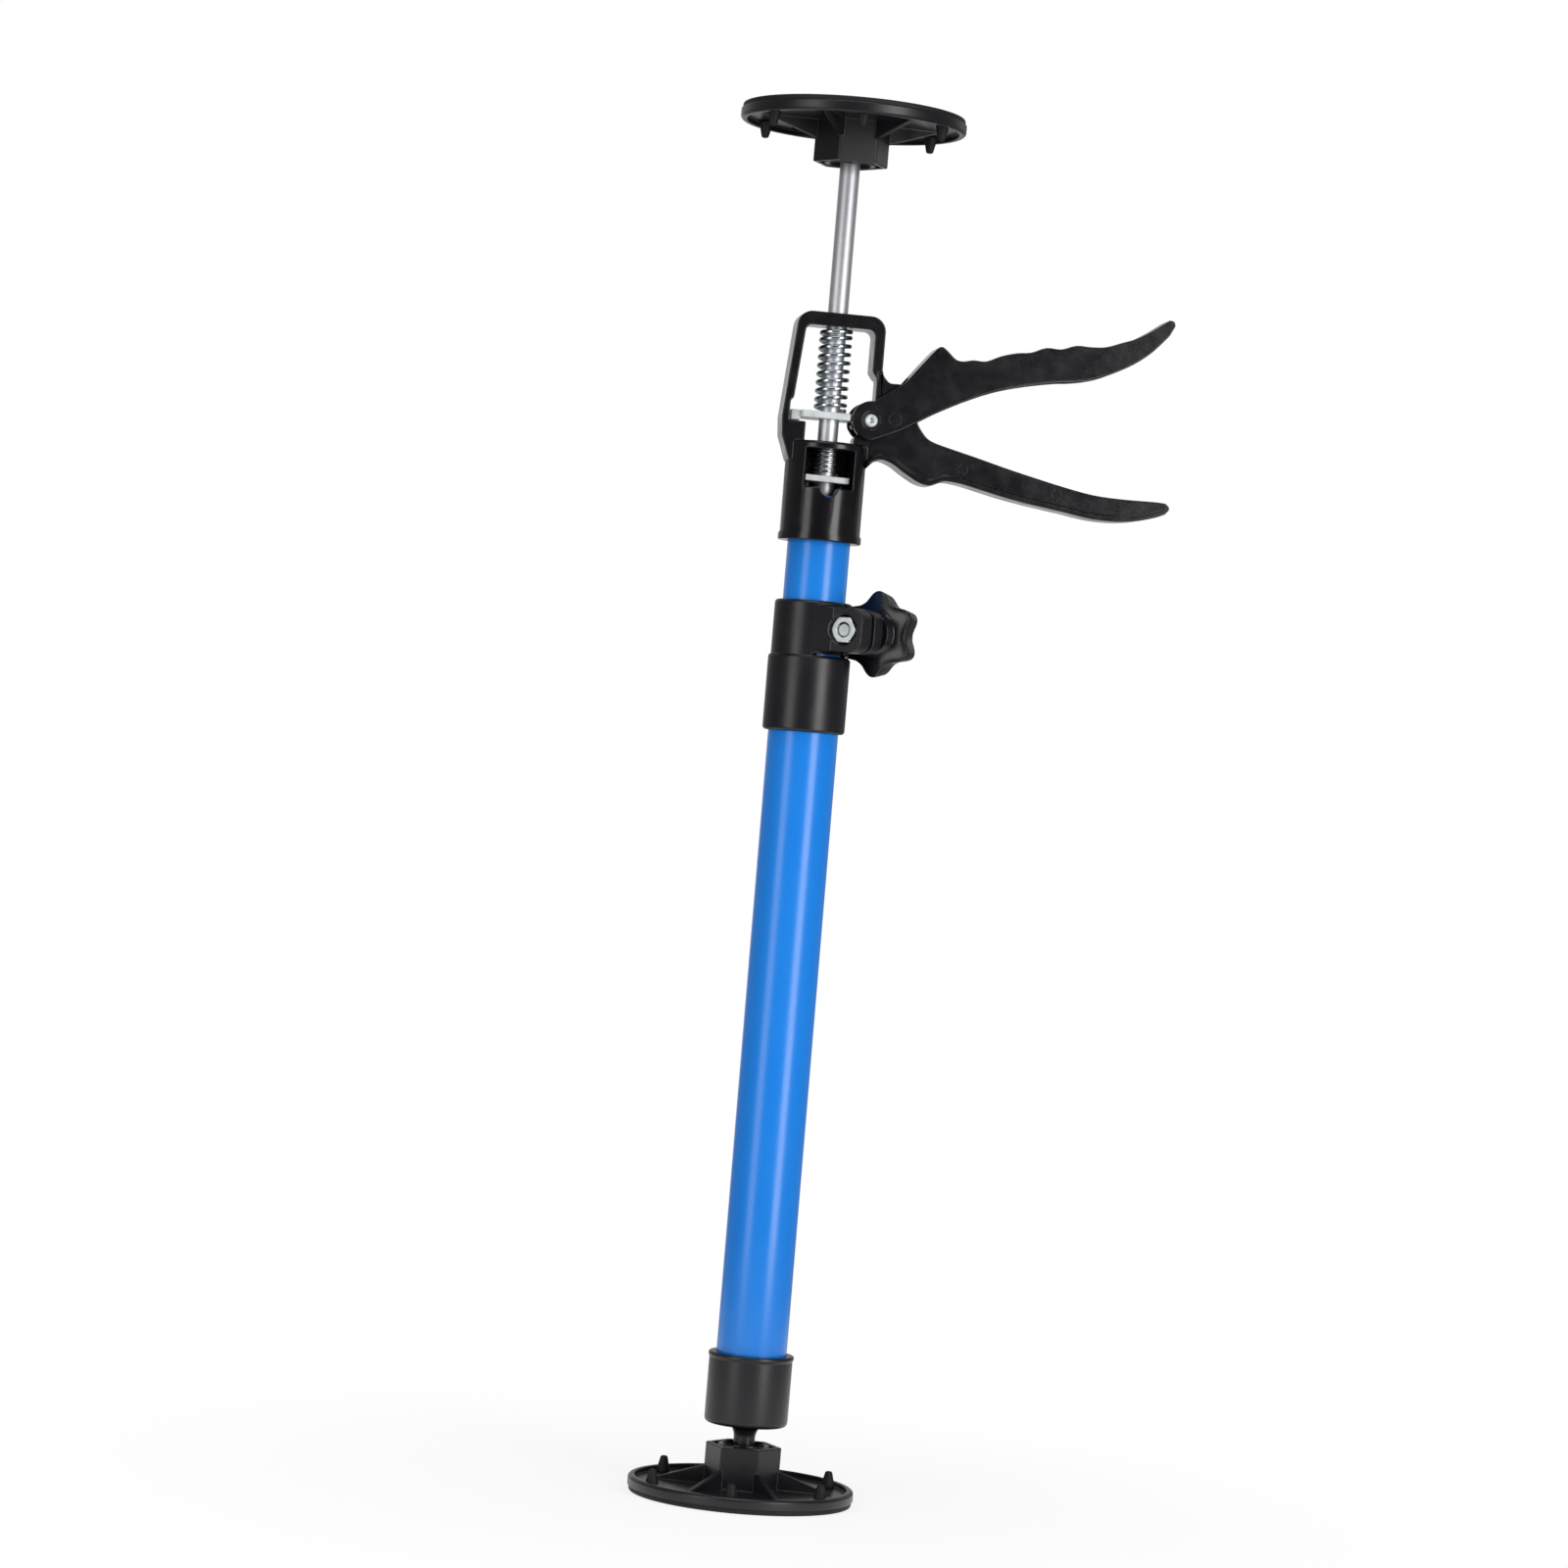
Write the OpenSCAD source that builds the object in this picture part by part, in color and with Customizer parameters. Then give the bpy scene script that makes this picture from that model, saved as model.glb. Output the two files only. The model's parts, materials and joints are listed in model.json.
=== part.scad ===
// Telescopic support pole with a squeeze-trigger jack head, a clamped two-part
// tube and a ball-jointed pad at each end. The axis of the pole is Z, the face
// of the foot pad is z = 0, and the trigger and the fixed handle reach along +X.

/* [Pole] */
// Length of the outer tube
outer_len = 299; // [240:1:600]
// Outside diameter of the outer tube
outer_d = 28; // [27:0.1:40]
// Wall of the outer tube
outer_wall = 1.2; // [0.8:0.1:1.5]
// Height of the guide bush above the end cap's floor
bush_lift = 45; // [30:1:80]
// Gap all round between the inner tube and the outer tube
tube_gap = 0.3; // [0.2:0.05:0.5]
// Wall of the inner tube
inner_wall = 1; // [0.8:0.1:1.5]
// Bare inner tube between the collar and the jack
inner_show = 23.6; // [23.5:0.1:120]

/* [Pads] */
// Diameter of each round pad
pad_d = 90; // [84:1:120]
// Height of a pad from its face to the end of its hub
pad_h = 21; // [20:0.5:28]
// Thickness of the rubber face sheet
sheet_t = 2; // [1:0.1:3]
// Thickness of the moulded plate
plate_t = 2.2; // [1.6:0.1:4]
// Height of the rim above the rubber sheet
rim_h = 4.2; // [3:0.1:6]
// Width of the rim
rim_w = 2.7; // [2:0.1:4]
// Distance across the corners of the hexagonal hub
hub_corner_d = 30.4; // [28:0.2:36]
// Diameter of the balls
ball_d = 14; // [13:0.1:15]
// Number of ribs and of pull-through plugs on a pad
rib_count = 6; // [3:1:8]

/* [Cap] */
// Outside diameter of the end cap
cap_d = 33.2; // [31.5:0.1:44]
// Height of the end cap
cap_h = 28.3; // [18:0.1:40]
// Thickness of the floor of the end cap
cap_floor = 4; // [3:0.1:6]
// Clear height between the hub of the foot and the cap
foot_gap = 8.2; // [8:0.1:16]

/* [Collar] */
// Outside diameter of the sleeve on the outer tube
sleeve_d = 32.8; // [31.5:0.1:44]
// Length of the sleeve
sleeve_h = 30; // [20:0.5:50]
// Outside diameter of the split ring
ring_d = 31; // [30:0.1:33]
// Height of the split ring
ring_h = 22.1; // [21:0.1:40]
// Distance from the pole axis to the clamp bolt
bolt_offset = 20; // [19.5:0.1:24]
// Direction of the clamp bolt, turned from +Y towards +X
bolt_angle = 40.5; // [20:0.5:70]
// Width of the split
split_w = 1.8; // [1:0.1:3]

/* [Knob] */
// Diameter over the lobes of the star knob
star_d = 34.8; // [28:0.2:35]
// Thickness of the star
star_t = 9; // [5:0.1:12]
// Number of lobes
lobe_count = 6; // [5:1:8]
// Distance from the pole axis to the star, along the bolt
star_seat = 15.7; // [15.7:0.1:24]

/* [Jack frame] */
// Outside diameter of the socket
socket_d = 32; // [31:0.1:40]
// Height of the socket up to the shelf
socket_h = 39.4; // [36:0.1:60]
// Height of the upper window
window_h = 46.1; // [42:0.1:70]
// Thickness of the top bar
bar_t = 5.4; // [4:0.1:9]
// Depth of the frame, front to back
frame_depth = 14; // [13.5:0.1:15]
// Thickness of the ear, the web and the handle
web_t = 9.4; // [8:0.1:9.6]
// Reach of the fixed handle from the trigger pivot
handle_reach = 124; // [100:1:150]

/* [Trigger] */
// Reach of the trigger from its pivot
trigger_reach = 119.6; // [100:1:150]
// Width over the two cheeks
trigger_w = 16; // [15.4:0.1:18]
// Thickness of a cheek
cheek_t = 2.7; // [2:0.1:2.8]
// Radius of the round nose of the cheeks
nose_r = 7.8; // [7.6:0.1:9]
// Distance from the pole axis to the trigger pivot
pivot_x = 15.9; // [15.6:0.1:17]
// Height of the trigger pivot above the shelf
pivot_rise = 10.2; // [9.8:0.1:11]

/* [Rod and springs] */
// Diameter of the push rod
rod_d = 8; // [7:0.1:8.4]
// Bare rod between the jack and the head pad
rod_show = 59.7; // [20:0.1:120]
// Rod below the top of the frame
rod_inside = 173.7; // [170:0.5:200]
// Thickness of the drive plate
drive_t = 2.9; // [2:0.1:3.4]
// Thickness of the brake plate
brake_t = 2.5; // [2:0.1:3]
// Outside diameter of the main spring
main_spring_d = 13.4; // [12.8:0.1:15.4]
// Wire of the main spring
main_wire = 1.8; // [1.2:0.1:2]
// Turns of the main spring
main_turns = 10; // [6:1:11]
// Outside diameter of the brake spring
brake_spring_d = 10.8; // [10.4:0.1:12]
// Wire of the brake spring
brake_wire = 1; // [0.8:0.1:1.1]
// Turns of the brake spring
brake_turns = 5; // [4:1:6]

/* [Hidden] */

$fn = 64;
// overrun of every cut
over = 1;
// radial clearance of pieces that are fixed together
press_gap = 0.02;
// radial clearance of a running fit
run_gap = 0.1;
// clearance of pieces that pass each other
free_gap = 0.3;
// small axial clearance of a seated piece
seat_gap = 0.15;
// smallest gap between two turns of a spring
turn_gap = 0.5;

// radii of the tubes and the rod
outer_r = outer_d / 2;
outer_bore_r = outer_r - outer_wall;
inner_r = outer_bore_r - tube_gap;
inner_bore_r = inner_r - inner_wall;
rod_r = rod_d / 2;
rod_hole_r = rod_r + seat_gap;

// heights along the pole
cap_z = pad_h + foot_gap;
tube_z = cap_z + cap_floor;
outer_top = tube_z + outer_len;
tube_seat = 27;
collar_z = outer_top - tube_seat;
ring_z = collar_z + sleeve_h;
collar_top = ring_z + ring_h;
socket_z = collar_top + inner_show;
shelf_z = socket_z + socket_h;
window_top = shelf_z + window_h;
frame_top = window_top + bar_t;
head_hub_z = frame_top + rod_show;
head_z = head_hub_z + pad_h;

// pads: the turn of the hub corners about the pole, foot and head
foot_turn = 46.8;
head_turn = 2.8;
ball_r = ball_d / 2;
ball_depth = 8;
ball_z = pad_h - ball_depth;
cup_r = ball_r + free_gap;
cup_lip = 3.6;
mouth_r = ball_depth + free_gap;
cup_wall = 2;
hub_wall = 2;
rib_t = 2.2;
rib_rise = 7.3;
rib_reach = 36.7;
plate_top = sheet_t + plate_t;
sheet_margin = 0.6;
plug_circle_r = pad_d / 2 - 6.5;
plug_r = 1.9;
plug_hole_r = plug_r + run_gap;
plug_barb_r = 2.7;
plug_tip_r = 1.3;
plug_h = 6.6;

// ball stud, its washer and its screw
waist_r = 4.3;
stem_r = 4.8;
neck_r = 5;
shoulder_r = 6.6;
shoulder_t = 1.4;
stud_washer_r = 9;
stud_washer_t = 1.5;
stud_screw_r = 2.5;
stud_screw_len = 14;
stud_head_r = 4.6;
stud_head_t = 3;

// cap
cap_r = cap_d / 2;
cap_round = 2;
lip_h = 1.5;
lip_w = 0.4;

// fixing screws at the back of the cap, the collar and the socket
screw_r = 1.6;
screw_head_r = 3.1;
screw_head_t = 1.8;
cap_screw_z = cap_z + cap_h * 0.55;
collar_screw_z = collar_z + sleeve_h * 0.4;
socket_screw_z = socket_z + 8.5;

// collar
sleeve_r = sleeve_d / 2;
ring_r = ring_d / 2;
clamp_bore_r = inner_r + run_gap;
slit_h = 1;
slit_lift = 0.2;
slit_start = 9;
edge_round = 1.5;
lug_h = 17.6;
lug_lift = 1.3;
lug_ramp_angle = 54.5;
lug_end = 8.7;
lug_root = 8;
lug_round = 5;
lug_front = 8.6;
lug_back = 7.2;
bolt_z = ring_z + slit_lift + slit_h + lug_lift + lug_h / 2;
bolt_r = 3;
bolt_hole_r = bolt_r + 0.2;
nut_flat_d = 9.9;
nut_t = 5;
nut_inset = 0.1;
pocket_rim_r = 6.2;
pocket_rim_t = 0.8;

// knob
clamp_washer_r = 6;
clamp_washer_t = 1.2;
knob_root_r = 6.5;
knob_root_h = 2.8;
knob_hub_r = 8.4;
knob_hub_top_r = 9;
star_r = star_d / 2;
star_face_share = 0.93;
star_edge_t = 1.2;
valley_share = 0.79;
lobe_power_share = 1.3;
lobe_points = 12;
knob_boss_r = 7;
knob_boss_t = 1.2;
stud_grip = 12;
stud_start = -lug_front + 0.7;

// guide bush
bush_flange = 10;
bush_spigot = 14;
bush_bore_r = 9;

// jack frame
tube_seat_up = 18;
floor_t = 3;
socket_r = socket_d / 2;
socket_flange_h = 3.6;
socket_flange_w = 0.6;
chamber_z = socket_z + tube_seat_up + floor_t;
shelf_t = 3;
chamber_w = 19.5;
chamber_back = 9;
finger_notch_r = 3.5;
ledge_x = -10.1;
ledge_h = 7.6;
notch_d = 1.2;
notch_h = 9;
leg_foot_z = shelf_z - 8;
elbow_x = -19.8;
elbow_h = 9;
knee_x = -19.3;
knee_h = 1.5;
ankle_x = -17.6;
ankle_h = -3;
left_top_x = -16.6;
left_inner_top_x = -13.1;
left_inner_low_x = -15.6;
right_inner_x = 14.8;
right_outer_x = 18.9;
outer_corner_r = 6;
inner_corner_r = 2.8;
step_z = window_top - 16.5;
step_x = 17.2;
step_drop = 3;
ear_r = 4.8;
ear_guide_r = 19.2;
rail_t = 2.4;
rivet_r = 1.75;
rivet_head_r = 2.6;
rivet_head_t = 1;
rivet_recess_r = 3.5;
brake_ledge_w = 2.9;
brake_seat = 2.4;

// trigger and its nose bar
pivot_z = shelf_z + pivot_rise;
top_wall = 2.6;
nose_arm = 6.4;
nose_bar_r = 1.2;
cheek_gap = trigger_w / 2 - cheek_t;

// drive plate
drive_z = pivot_z - 0.9;
drive_depth = 13;
drive_x0 = -16;
drive_body_x = -11.6;
drive_x1 = 10.7;
drive_tail = 3.8;
drive_tail_drop = 1.3;
drive_tail_w = 9;
drive_shoulder_x = 7.7;
drive_tongue_w = 9.6;
drive_hole_r = rod_r + free_gap;

// brake plate
brake_z = chamber_z + 2.7;
brake_x = 8.9;
brake_front = 9;
brake_back = 6.5;
brake_tilt = 1;
brake_hole_r = rod_r + free_gap + run_gap;

// rod ends
rod_z = frame_top - rod_inside;
clip_z = rod_z + 5;
clip_t = 1.2;
clip_r = 7.5;
clip_groove_r = 3.2;
clip_open_share = 0.55;
head_ball_z = head_hub_z + ball_depth;
spigot_r = 3;
spigot_z = head_ball_z - 4;
spigot_top = head_ball_z + 3.5;
peen_r = 4.2;
peen_t = 1.4;

// outline of the trigger as shares of its reach, from the pivot
trigger_top_shares = [[0.104, 0.136], [0.143, 0.186], [0.190, 0.245], [0.213, 0.266],
    [0.235, 0.256], [0.266, 0.229], [0.292, 0.225], [0.326, 0.232], [0.368, 0.232],
    [0.417, 0.254], [0.469, 0.269], [0.518, 0.276], [0.567, 0.296], [0.618, 0.296],
    [0.668, 0.313], [0.718, 0.313], [0.769, 0.318], [0.819, 0.336], [0.871, 0.356],
    [0.926, 0.389], [0.979, 0.428]];
trigger_tip_shares = [[0.995, 0.425], [1.000, 0.411]];
trigger_low_shares = [[0.982, 0.375], [0.928, 0.315], [0.873, 0.272], [0.819, 0.241],
    [0.769, 0.218], [0.718, 0.203], [0.668, 0.194], [0.618, 0.188], [0.518, 0.168],
    [0.417, 0.139], [0.317, 0.096], [0.216, 0.044], [0.167, 0.015], [0.101, -0.024]];
// where the wall between the cheeks starts and ends along the trigger
channel_start_share = 0.118;
channel_end_share = 0.93;

// outline of the fixed handle as shares of its reach, from the pivot
handle_top_shares = [[0.155, 0.006], [0.164, -0.009], [0.186, -0.035], [0.211, -0.049],
    [0.259, -0.062], [0.355, -0.085], [0.453, -0.110], [0.549, -0.132], [0.646, -0.153],
    [0.743, -0.170], [0.839, -0.175], [0.948, -0.174], [0.985, -0.176]];
handle_tip_shares = [[0.997, -0.185], [0.999, -0.196]];
handle_low_shares = [[0.985, -0.211], [0.950, -0.226], [0.893, -0.241], [0.839, -0.249],
    [0.791, -0.251], [0.743, -0.249], [0.695, -0.243], [0.646, -0.235], [0.549, -0.222],
    [0.453, -0.206], [0.355, -0.185], [0.307, -0.175], [0.259, -0.171], [0.235, -0.179],
    [0.211, -0.189], [0.186, -0.188], [0.162, -0.180], [0.138, -0.167], [0.114, -0.153],
    [0.090, -0.137], [0.065, -0.126], [0.041, -0.122], [0.017, -0.132], [-0.002, -0.152]];
spline_steps = 3;

// a point between b and c of a smooth curve through a, b, c and d
function curve_point(a, b, c, d, t) =
    ((b * 2) + (c - a) * t + (a * 2 - b * 5 + c * 4 - d) * t * t
    + (b * 3 - a - c * 3 + d) * t * t * t) / 2;
// a smooth curve through all points of a list
function smooth(p, n) = [for (i = [0:len(p) - 2]) for (k = [0:n - (i == len(p) - 2 ? 0 : 1)])
    curve_point(p[max(i - 1, 0)], p[i], p[i + 1], p[min(i + 2, len(p) - 1)], k / n)];
// an arc about c from angle a to angle b
function arc(c, r, a, b, n) = [for (i = [0:n])
    c + r * [cos(a + (b - a) * i / n), sin(a + (b - a) * i / n)]];
function scaled(p, k) = [for (q = p) q * k];
function shifted(p, v) = [for (q = p) q + v];

// a plate in the XZ plane, centred on y = 0
module side_plate(points, width) {
    rotate([90, 0, 0]) linear_extrude(height = width, center = true) polygon(points);
}

// moves what lies on the clamp bolt: local x runs out from the pole axis,
// local z runs along the bolt and local y runs down the pole
module on_bolt() {
    rotate([0, 0, -bolt_angle]) translate([0, 0, bolt_z]) rotate([-90, 0, 0]) children();
}

// a fixing screw that enters from the back at height z, with its head on radius r
module back_screw(z, r, depth) {
    translate([0, r, z]) rotate([-90, 0, 0]) difference() {
        union() {
            translate([0, 0, -depth]) cylinder(r = screw_r, h = depth);
            rotate_extrude() polygon([[0, 0], [screw_head_r, 0],
                [screw_head_r, screw_head_t * 0.4], [screw_head_r * 0.6, screw_head_t],
                [0, screw_head_t]]);
        }
        translate([0, 0, screw_head_t]) {
            cube([screw_head_r * 1.2, screw_r / 2, screw_head_t], center = true);
            cube([screw_r / 2, screw_head_r * 1.2, screw_head_t], center = true);
        }
    }
}

// the hole and the flat seat for a fixing screw
module screw_seat(z, r) {
    translate([0, r, z]) rotate([-90, 0, 0]) {
        cylinder(r = screw_head_r + press_gap * 2, h = over + sleeve_r);
        translate([0, 0, -cap_r]) cylinder(r = screw_r + press_gap, h = cap_r + over);
    }
}

// one round pad, face down on z = 0, hub up
module pad_plate() {
    difference() {
        union() {
            translate([0, 0, sheet_t]) cylinder(d = pad_d, h = plate_t);
            difference() {
                translate([0, 0, sheet_t]) rotate_extrude() polygon([[0, 0], [pad_d / 2, 0],
                    [pad_d / 2, rim_h * 0.8], [pad_d / 2 - rim_h * 0.2, rim_h], [0, rim_h]]);
                translate([0, 0, plate_top]) cylinder(r = pad_d / 2 - rim_w, h = rim_h);
            }
            hub_shell();
            cylinder_between(cup_outer_r(), plate_top - plate_t / 2, pad_h);
            for (i = [0:rib_count - 1]) rotate([0, 0, i * 360 / rib_count]) pad_rib();
        }
        ball_cup();
        for (i = [0:rib_count - 1]) rotate([0, 0, (i + 0.5) * 360 / rib_count])
            translate([plug_circle_r, 0, sheet_t - over])
            cylinder(r = plug_hole_r, h = plate_t + over * 2);
    }
}

function cup_outer_r() = mouth_r + cup_wall;

module cylinder_between(r, z0, z1) {
    translate([0, 0, z0]) cylinder(r = r, h = z1 - z0);
}

// hexagonal wall of the hub with its corners on the ribs
module hub_shell() {
    difference() {
        translate([0, 0, sheet_t]) cylinder(d = hub_corner_d, h = pad_h - sheet_t, $fn = 6);
        translate([0, 0, plate_top])
            cylinder(d = hub_corner_d - hub_wall * 2 / cos(30), h = pad_h, $fn = 6);
    }
}

// a rib from the cup through the corner of the hub, sloping down to the plate
module pad_rib() {
    hub_r = hub_corner_d / 2;
    side_plate([[cup_outer_r() - cup_wall / 2, plate_top - plate_t / 2],
        [rib_reach, plate_top - plate_t / 2], [rib_reach, plate_top],
        [hub_r, plate_top + rib_rise], [hub_r - hub_wall, plate_top + rib_rise],
        [hub_r - hub_wall, pad_h - cup_wall], [cup_outer_r() - cup_wall / 2, pad_h - cup_wall]],
        rib_t);
}

// the round cup for the ball with its lip and its flared mouth
module ball_cup() {
    lip_r = sqrt(cup_r * cup_r - cup_lip * cup_lip);
    translate([0, 0, ball_z]) {
        sphere(r = cup_r);
        translate([0, 0, cup_lip - run_gap])
            cylinder(r1 = lip_r, r2 = mouth_r, h = ball_depth - cup_lip + run_gap);
        translate([0, 0, ball_depth - run_gap]) cylinder(r = mouth_r, h = over);
    }
}

// rubber face sheet with the plugs that hold it to the plate
module grip_sheet() {
    rotate_extrude() polygon([[0, 0], [pad_d / 2 - sheet_margin * 2, 0],
        [pad_d / 2 - sheet_margin, sheet_margin], [pad_d / 2 - sheet_margin, sheet_t],
        [0, sheet_t]]);
    for (i = [0:rib_count - 1]) rotate([0, 0, (i + 0.5) * 360 / rib_count])
        translate([plug_circle_r, 0, sheet_t / 2]) rotate_extrude() polygon([[0, 0],
            [plug_r, 0], [plug_r, sheet_t / 2 + plate_t + run_gap],
            [plug_barb_r, sheet_t / 2 + plate_t + run_gap],
            [plug_tip_r, sheet_t / 2 + plate_t + plug_h],
            [0, sheet_t / 2 + plate_t + plug_h]]);
}

module foot_grip_pad() {
    color("dimgray") rotate([0, 0, foot_turn]) grip_sheet();
}

module foot_pad() {
    color([0.16, 0.16, 0.18]) rotate([0, 0, foot_turn]) pad_plate();
}

module head_pad() {
    color([0.16, 0.16, 0.18]) translate([0, 0, head_z]) rotate([180, 0, head_turn])
        pad_plate();
}

module head_grip_pad() {
    color("dimgray") translate([0, 0, head_z]) rotate([180, 0, head_turn]) grip_sheet();
}

// ball, waisted stem, shoulder and the neck that turns in the cap
module foot_ball_stud() {
    stem_z = ball_z + ball_r * 0.8;
    shoulder_top = cap_z - free_gap;
    color([0.16, 0.16, 0.18]) difference() {
        union() {
            translate([0, 0, ball_z]) sphere(r = ball_r);
            rotate_extrude() polygon([[0, stem_z], [waist_r, stem_z],
                [waist_r, pad_h + foot_gap * 0.25], [waist_r, pad_h + foot_gap * 0.45],
                [stem_r, shoulder_top - shoulder_t * 1.8],
                [shoulder_r * 0.8, shoulder_top - shoulder_t],
                [shoulder_r, shoulder_top - shoulder_t / 2], [shoulder_r, shoulder_top],
                [neck_r, shoulder_top], [neck_r, tube_z + seat_gap], [0, tube_z + seat_gap]]);
        }
        translate([0, 0, tube_z - stud_screw_len])
            cylinder(r = stud_screw_r + press_gap, h = stud_screw_len + over);
    }
}

module foot_stud_washer() {
    color("silver") translate([0, 0, tube_z + seat_gap * 2]) difference() {
        cylinder(r = stud_washer_r, h = stud_washer_t);
        translate([0, 0, -over]) cylinder(r = stud_screw_r + run_gap, h = stud_washer_t + over * 2);
    }
}

module foot_stud_screw() {
    head_z0 = tube_z + seat_gap * 2 + stud_washer_t;
    color("silver") difference() {
        union() {
            translate([0, 0, tube_z - stud_screw_len + over])
                cylinder(r = stud_screw_r, h = head_z0 - tube_z + stud_screw_len - over);
            translate([0, 0, head_z0]) rotate_extrude() polygon([[0, 0], [stud_head_r, 0],
                [stud_head_r, stud_head_t * 0.5], [stud_head_r * 0.7, stud_head_t],
                [0, stud_head_t]]);
        }
        translate([0, 0, head_z0 + stud_head_t / 2])
            cylinder(r = stud_screw_r * 0.8, h = stud_head_t, $fn = 6);
    }
}

module foot_cap() {
    color([0.16, 0.16, 0.18]) difference() {
        translate([0, 0, cap_z]) rotate_extrude() polygon(concat([[0, 0]],
            arc([cap_r - cap_round, cap_round], cap_round, -90, 0, 6),
            [[cap_r, cap_h - lip_h * 1.4], [cap_r + lip_w, cap_h - lip_h],
            [cap_r + lip_w, cap_h - lip_w], [cap_r, cap_h], [0, cap_h]]));
        translate([0, 0, tube_z]) cylinder(r = outer_r + press_gap, h = cap_h);
        translate([0, 0, cap_z - over]) cylinder(r = neck_r + run_gap, h = cap_floor + over * 2);
        screw_seat(cap_screw_z, cap_r - press_gap);
    }
}

module cap_screw() {
    color("silver") back_screw(cap_screw_z, cap_r, cap_r - outer_bore_r);
}

module outer_tube() {
    color([0.1, 0.48, 0.87]) difference() {
        translate([0, 0, tube_z]) cylinder(r = outer_r, h = outer_len);
        translate([0, 0, tube_z - over]) cylinder(r = outer_bore_r, h = outer_len + over * 2);
        screw_seat(cap_screw_z, cap_r);
        screw_seat(collar_screw_z, sleeve_r);
    }
}

// outline of a lug in its own plane: x out from the pole, y down the pole
module lug_shape() {
    e = bolt_offset + lug_end;
    h = lug_h / 2;
    polygon(concat([[lug_root, -h]], arc([e - lug_round, lug_round - h], lug_round, -90, 0, 8),
        arc([e - lug_round, h - lug_round], lug_round, 0, 90, 8), [[lug_root, h]]));
}

// wedge that lets the ring flow into the front lug along its own tangent
module lug_ramp() {
    c = cos(lug_ramp_angle);
    s = sin(lug_ramp_angle);
    t = (ring_r * s - lug_front) / c;
    polygon([[ring_r * c, -ring_r * s], [ring_r * c + t * s, -lug_front],
        [ring_r * c + t * s, -split_w], [ring_r * c, -split_w]]);
}

module clamp_collar() {
    cut_z = ring_z + slit_lift;
    color([0.16, 0.16, 0.18]) difference() {
        union() {
            translate([0, 0, collar_z]) rotate_extrude() polygon(concat([[0, 0]],
                arc([sleeve_r - edge_round, edge_round], edge_round, -90, 0, 6),
                [[sleeve_r, sleeve_h - (sleeve_r - ring_r) / 2],
                [sleeve_r - (sleeve_r - ring_r) / 2, sleeve_h], [ring_r, sleeve_h]],
                arc([ring_r - edge_round, sleeve_h + ring_h - edge_round], edge_round, 0, 90, 6),
                [[0, sleeve_h + ring_h]]));
            on_bolt() translate([0, 0, -lug_front])
                linear_extrude(height = lug_front + lug_back) lug_shape();
            rotate([0, 0, -bolt_angle]) translate([0, 0, bolt_z - lug_h / 2])
                linear_extrude(height = lug_h) lug_ramp();
        }
        translate([0, 0, collar_z - over])
            cylinder(r = outer_r + press_gap, h = tube_seat + over + press_gap);
        translate([0, 0, collar_z]) cylinder(r = clamp_bore_r, h = sleeve_h + ring_h + over);
        rotate([0, 0, -bolt_angle]) {
            translate([slit_start, -sleeve_d, cut_z])
                cube([sleeve_d * 2, sleeve_d * 2, slit_h]);
            translate([0, -split_w / 2, cut_z])
                cube([sleeve_d * 2, split_w, ring_h + over]);
        }
        on_bolt() translate([bolt_offset, 0, 0]) {
            translate([0, 0, -lug_front - over])
                cylinder(r = bolt_hole_r, h = lug_front + lug_back + over * 2);
            translate([0, 0, -lug_front - over])
                cylinder(d = (nut_flat_d + run_gap * 2) / cos(30),
                    h = nut_t + nut_inset + press_gap + over, $fn = 6);
            translate([0, 0, -lug_front - over])
                cylinder(r = pocket_rim_r, h = pocket_rim_t + over);
        }
        screw_seat(collar_screw_z, sleeve_r - press_gap);
    }
}

module collar_screw() {
    color("silver") back_screw(collar_screw_z, sleeve_r, sleeve_r - outer_bore_r);
}

module clamp_nut() {
    color("silver") on_bolt() translate([bolt_offset, 0, -lug_front + nut_inset]) difference() {
        intersection() {
            cylinder(d = nut_flat_d / cos(30), h = nut_t, $fn = 6);
            rotate_extrude() polygon([[0, 0], [nut_flat_d * 0.48, 0],
                [nut_flat_d * 0.6, nut_t * 0.16], [nut_flat_d * 0.6, nut_t], [0, nut_t]]);
        }
        translate([0, 0, -over]) cylinder(r = bolt_r + run_gap, h = nut_t + over * 2);
    }
}

module clamp_washer() {
    color("silver") on_bolt() translate([bolt_offset, 0, lug_back + seat_gap]) difference() {
        cylinder(r = clamp_washer_r, h = clamp_washer_t);
        translate([0, 0, -over]) cylinder(r = bolt_hole_r, h = clamp_washer_t + over * 2);
    }
}

module clamp_stud() {
    color("silver") on_bolt() translate([bolt_offset, 0, stud_start]) rotate_extrude()
        polygon([[0, 0], [bolt_r * 0.75, 0], [bolt_r, bolt_r * 0.3],
            [bolt_r, knob_z() + stud_grip - stud_start], [0, knob_z() + stud_grip - stud_start]]);
}

function knob_z() = lug_back + clamp_washer_t + seat_gap * 2;
// radius of the star at angle a
function star_edge(a) = star_r * (valley_share
    + (1 - valley_share) * pow((1 + cos(a * lobe_count)) / 2, lobe_power_share));

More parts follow.
